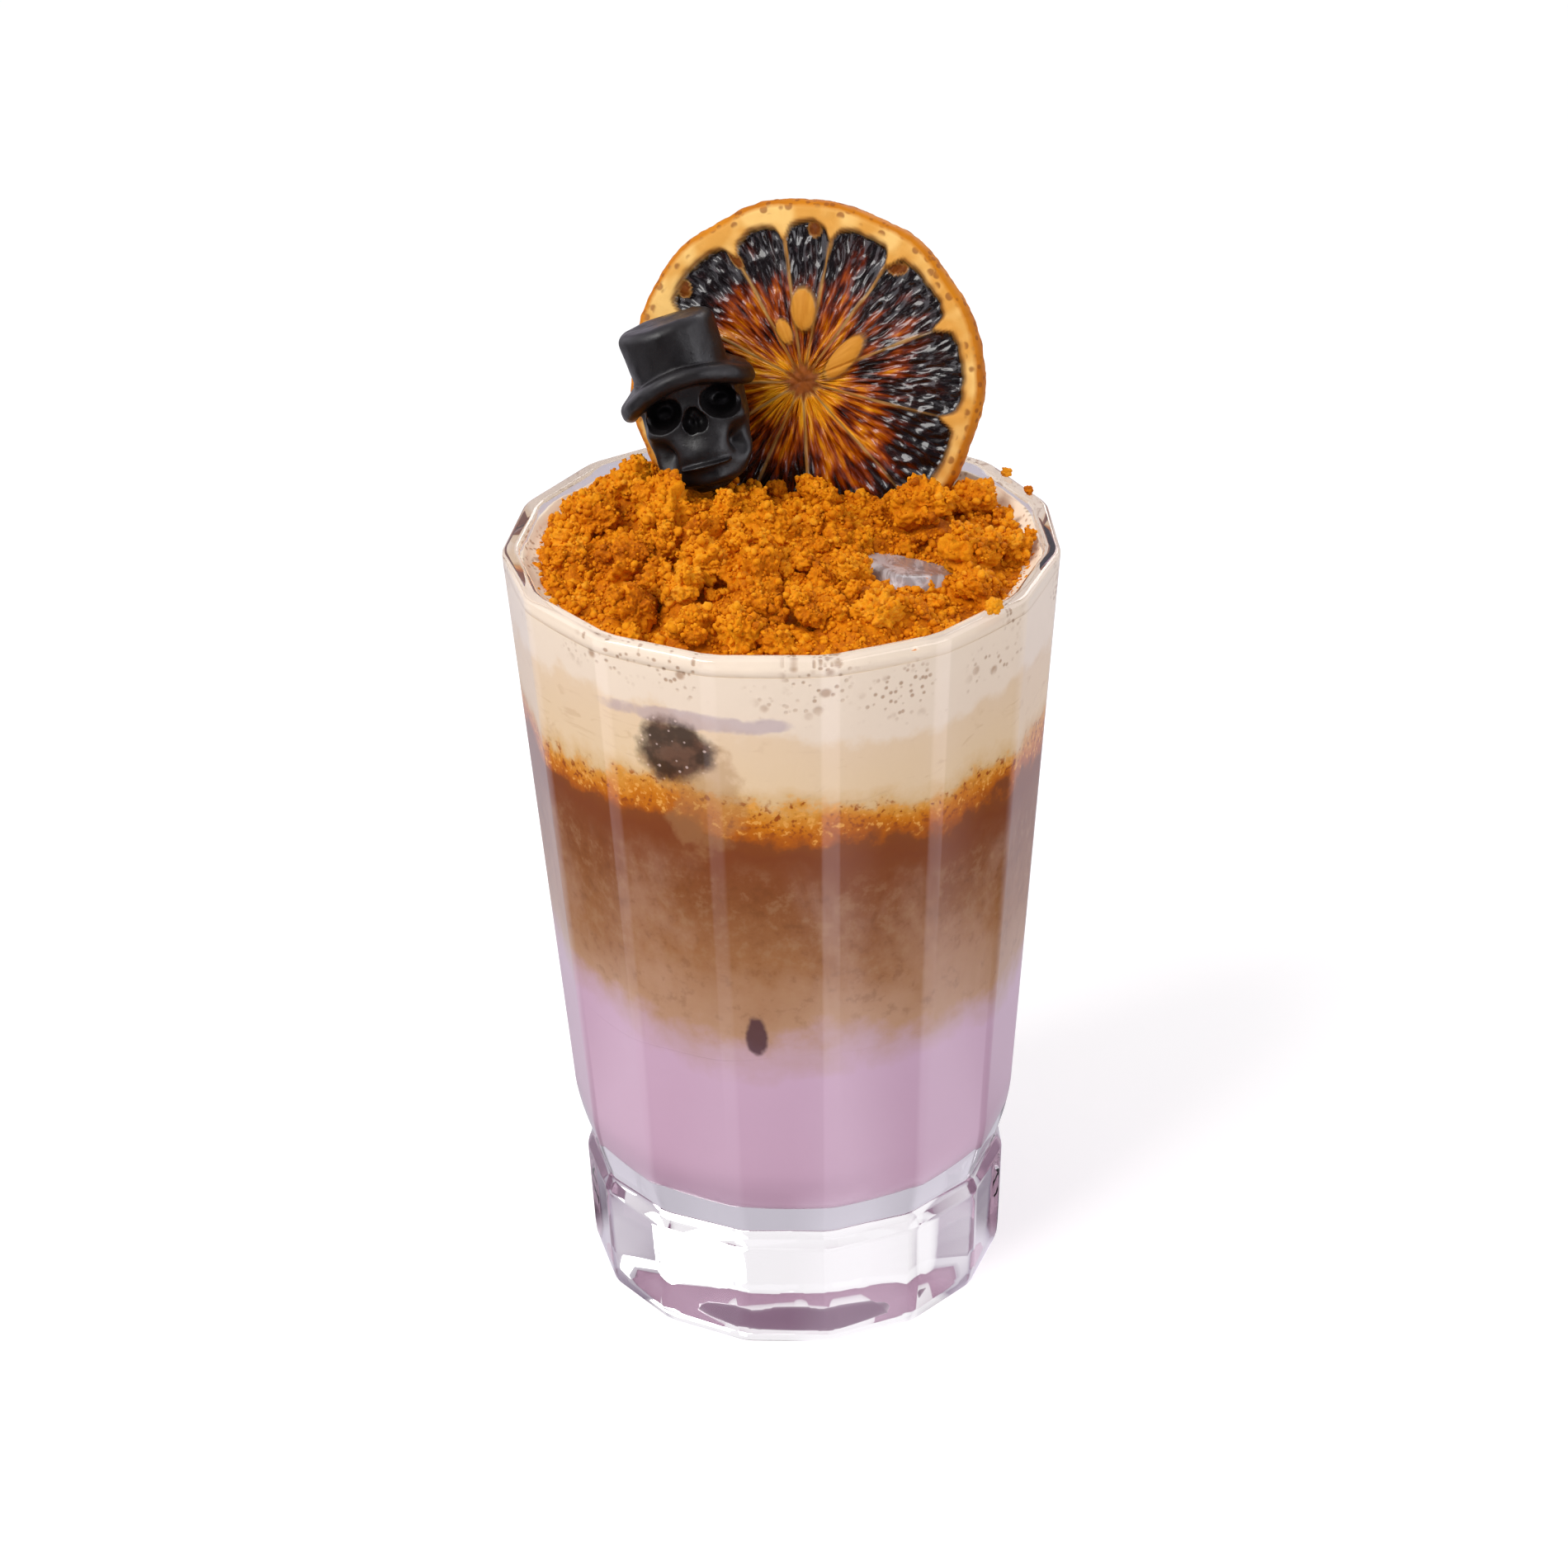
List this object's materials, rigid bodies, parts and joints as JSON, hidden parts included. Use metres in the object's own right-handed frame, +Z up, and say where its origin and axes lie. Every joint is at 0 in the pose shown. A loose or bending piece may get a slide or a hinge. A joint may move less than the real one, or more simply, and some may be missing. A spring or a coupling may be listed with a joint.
{
  "type": "cookie cream drink",
  "caption": "Faceted tumbler of layered iced cream drink with foam, biscuit crumbs, a dried orange slice and a small black skull in a top hat.",
  "frame": {"origin": "middle of the underside of the tumbler's foot", "axes": "+Z up along the tumbler's axis, -Y towards the front, where the skull looks, +X to the right as seen from the front"},
  "size_m": [0.0857, 0.0857, 0.1704],
  "materials": {
    "tumbler": "clear pressed glass, polished",
    "milk": "lilac milk seen through glass",
    "coffee": "coffee, darker at the top",
    "soaked_crumbs": "soaked biscuit crumbs",
    "cream": "coffee cream",
    "foam": "milk foam with small bubbles",
    "crumb_heap": "dry caramel biscuit crumbs",
    "ice_cube": "wet clear ice with white cracks",
    "orange_slice": "dried blood orange, dark glossy pulp and pale pith",
    "skull": "black moulded confection, satin"
  },
  "bodies": {
    "root": {"tumbler": "tumbler", "milk": "milk", "coffee": "coffee", "soaked_crumbs": "soaked_crumbs", "cream": "cream", "foam": "foam", "crumb_heap": "crumb_heap", "ice_cube": "ice_cube", "orange_slice": "orange_slice", "skull": "skull"}
  },
  "joints": []
}
